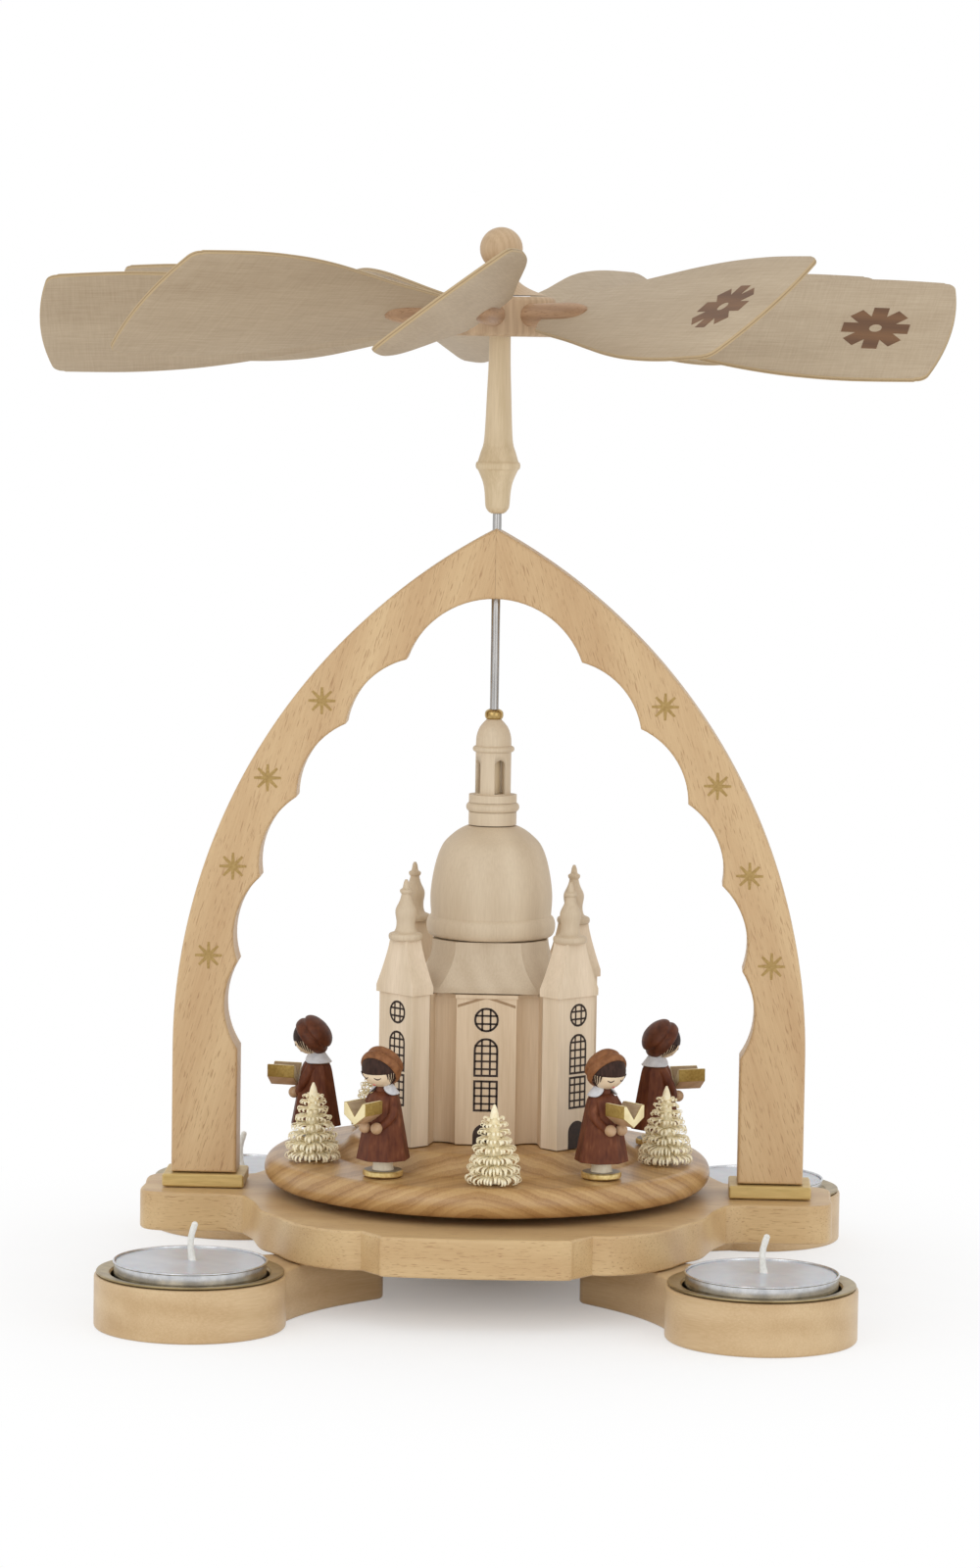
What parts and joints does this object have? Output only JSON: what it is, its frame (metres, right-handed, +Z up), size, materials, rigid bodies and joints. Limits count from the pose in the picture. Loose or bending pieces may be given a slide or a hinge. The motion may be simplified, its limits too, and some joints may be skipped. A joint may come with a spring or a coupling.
{
  "type": "candle carousel",
  "caption": "Wooden candle carousel: a pointed arch on a scalloped base with tealight arms, a turning platform with church, singers and trees, and a bladed rotor above.",
  "frame": {"origin": "on the spindle's axis, at the table under the arms", "axes": "+Z up along the spindle, -Y towards the front, the arch stands in the XZ plane"},
  "size_m": [0.2364, 0.2351, 0.273],
  "materials": {
    "beech": "satin beech with short dark flecks",
    "honey_wood": "oiled, strong growth rings",
    "pale_wood": "matt, fine-grained",
    "plywood": "matt veneer",
    "painted_wood": "stained and painted",
    "gilt_wood": "gold paint",
    "shavings": "raw shavings",
    "brass": "polished",
    "gold_plate": "gold paint",
    "steel": "drawn rod",
    "aluminium": "bright foil",
    "wax": "white wax, stood in for by plastic"
  },
  "bodies": {
    "stand": {"base_plate": "beech", "arch_left": "beech", "arch_right": "beech", "foot_plate_left": "gold_plate", "foot_plate_right": "gold_plate", "pivot_bearing": "brass", "arm_front_left": "beech", "arm_front_right": "beech", "arm_rear_left": "beech", "arm_rear_right": "beech", "candle_insert_front_left": "brass", "candle_insert_front_right": "brass", "candle_insert_rear_left": "brass", "candle_insert_rear_right": "brass"},
    "carousel": {"spindle_rod": "steel", "platform": "honey_wood", "church_body": "pale_wood", "church_roof": "pale_wood", "church_dome": "pale_wood", "lantern": "pale_wood", "brass_bead": "brass", "church_tower_front_left": "pale_wood", "church_tower_front_right": "pale_wood", "church_tower_rear_left": "pale_wood", "church_tower_rear_right": "pale_wood", "singer_front_left": "painted_wood", "singer_front_right": "painted_wood", "singer_right": "painted_wood", "singer_rear": "painted_wood", "singer_left": "painted_wood", "book_front_left": "gilt_wood", "book_front_right": "gilt_wood", "book_right": "gilt_wood", "book_rear": "gilt_wood", "book_left": "gilt_wood", "tree_front": "shavings", "tree_right": "shavings", "tree_rear_right": "shavings", "tree_rear_left": "shavings", "tree_left": "shavings"},
    "rotor": {"rotor_sleeve": "beech", "rotor_hub": "beech", "rotor_finial": "beech"},
    "blade_1_body": {"blade_1": "plywood"},
    "blade_2_body": {"blade_2": "plywood"},
    "blade_3_body": {"blade_3": "plywood"},
    "blade_4_body": {"blade_4": "plywood"},
    "blade_5_body": {"blade_5": "plywood"},
    "blade_6_body": {"blade_6": "plywood"},
    "blade_7_body": {"blade_7": "plywood"},
    "blade_8_body": {"blade_8": "plywood"},
    "blade_9_body": {"blade_9": "plywood"},
    "tealight_front_left": {"tealight_cup_front_left": "aluminium", "tealight_wax_front_left": "wax"},
    "tealight_front_right": {"tealight_cup_front_right": "aluminium", "tealight_wax_front_right": "wax"},
    "tealight_rear_left": {"tealight_cup_rear_left": "aluminium", "tealight_wax_rear_left": "wax"},
    "tealight_rear_right": {"tealight_cup_rear_right": "aluminium", "tealight_wax_rear_right": "wax"}
  },
  "joints": [
    {"name": "carousel_turn", "type": "hinge", "parent": "stand", "child": "carousel", "pos_m": [0, 0, 0.0236], "axis": [0, 0, 1], "continuous": true},
    {"name": "rotor_lift_off", "type": "slide", "parent": "carousel", "child": "rotor", "axis": [0, 0, 1], "range_m": [0, 0.062]},
    {"name": "blade_1_pitch", "type": "hinge", "parent": "rotor", "child": "blade_1_body", "pos_m": [0, 0, 0.2502], "axis": [-0.0871, -0.9958, 0.0279], "range_deg": [-36.7, 53.3]},
    {"name": "blade_2_pitch", "type": "hinge", "parent": "rotor", "child": "blade_2_body", "pos_m": [0, 0, 0.2502], "axis": [0.5734, -0.8189, 0.0244], "range_deg": [-36.7, 53.3]},
    {"name": "blade_3_pitch", "type": "hinge", "parent": "rotor", "child": "blade_3_body", "pos_m": [0, 0, 0.2502], "axis": [0.9657, -0.2588, -0.0209], "range_deg": [-36.7, 53.3]},
    {"name": "blade_4_pitch", "type": "hinge", "parent": "rotor", "child": "blade_4_body", "pos_m": [0, 0, 0.2502], "axis": [0.9063, 0.4226, 0], "range_deg": [-36.7, 53.3]},
    {"name": "blade_5_pitch", "type": "hinge", "parent": "rotor", "child": "blade_5_body", "pos_m": [0, 0, 0.2502], "axis": [0.4226, 0.9063, 0.007], "range_deg": [-36.7, 53.3]},
    {"name": "blade_6_pitch", "type": "hinge", "parent": "rotor", "child": "blade_6_body", "pos_m": [0, 0, 0.2502], "axis": [-0.2588, 0.9659, 0.0035], "range_deg": [-36.7, 53.3]},
    {"name": "blade_7_pitch", "type": "hinge", "parent": "rotor", "child": "blade_7_body", "pos_m": [0, 0, 0.2502], "axis": [-0.8192, 0.5736, 0], "range_deg": [-36.7, 53.3]},
    {"name": "blade_8_pitch", "type": "hinge", "parent": "rotor", "child": "blade_8_body", "pos_m": [0, 0, 0.2502], "axis": [-0.9957, -0.0871, -0.0314], "range_deg": [-36.7, 53.3]},
    {"name": "blade_9_pitch", "type": "hinge", "parent": "rotor", "child": "blade_9_body", "pos_m": [0, 0, 0.2502], "axis": [-0.707, -0.707, 0.0175], "range_deg": [-36.7, 53.3]},
    {"name": "tealight_front_left_lift_out", "type": "slide", "parent": "stand", "child": "tealight_front_left", "axis": [0, 0, 1], "range_m": [0, 0.03]},
    {"name": "tealight_front_right_lift_out", "type": "slide", "parent": "stand", "child": "tealight_front_right", "axis": [0, 0, 1], "range_m": [0, 0.03]},
    {"name": "tealight_rear_left_lift_out", "type": "slide", "parent": "stand", "child": "tealight_rear_left", "axis": [0, 0, 1], "range_m": [0, 0.03]},
    {"name": "tealight_rear_right_lift_out", "type": "slide", "parent": "stand", "child": "tealight_rear_right", "axis": [0, 0, 1], "range_m": [0, 0.03]}
  ]
}
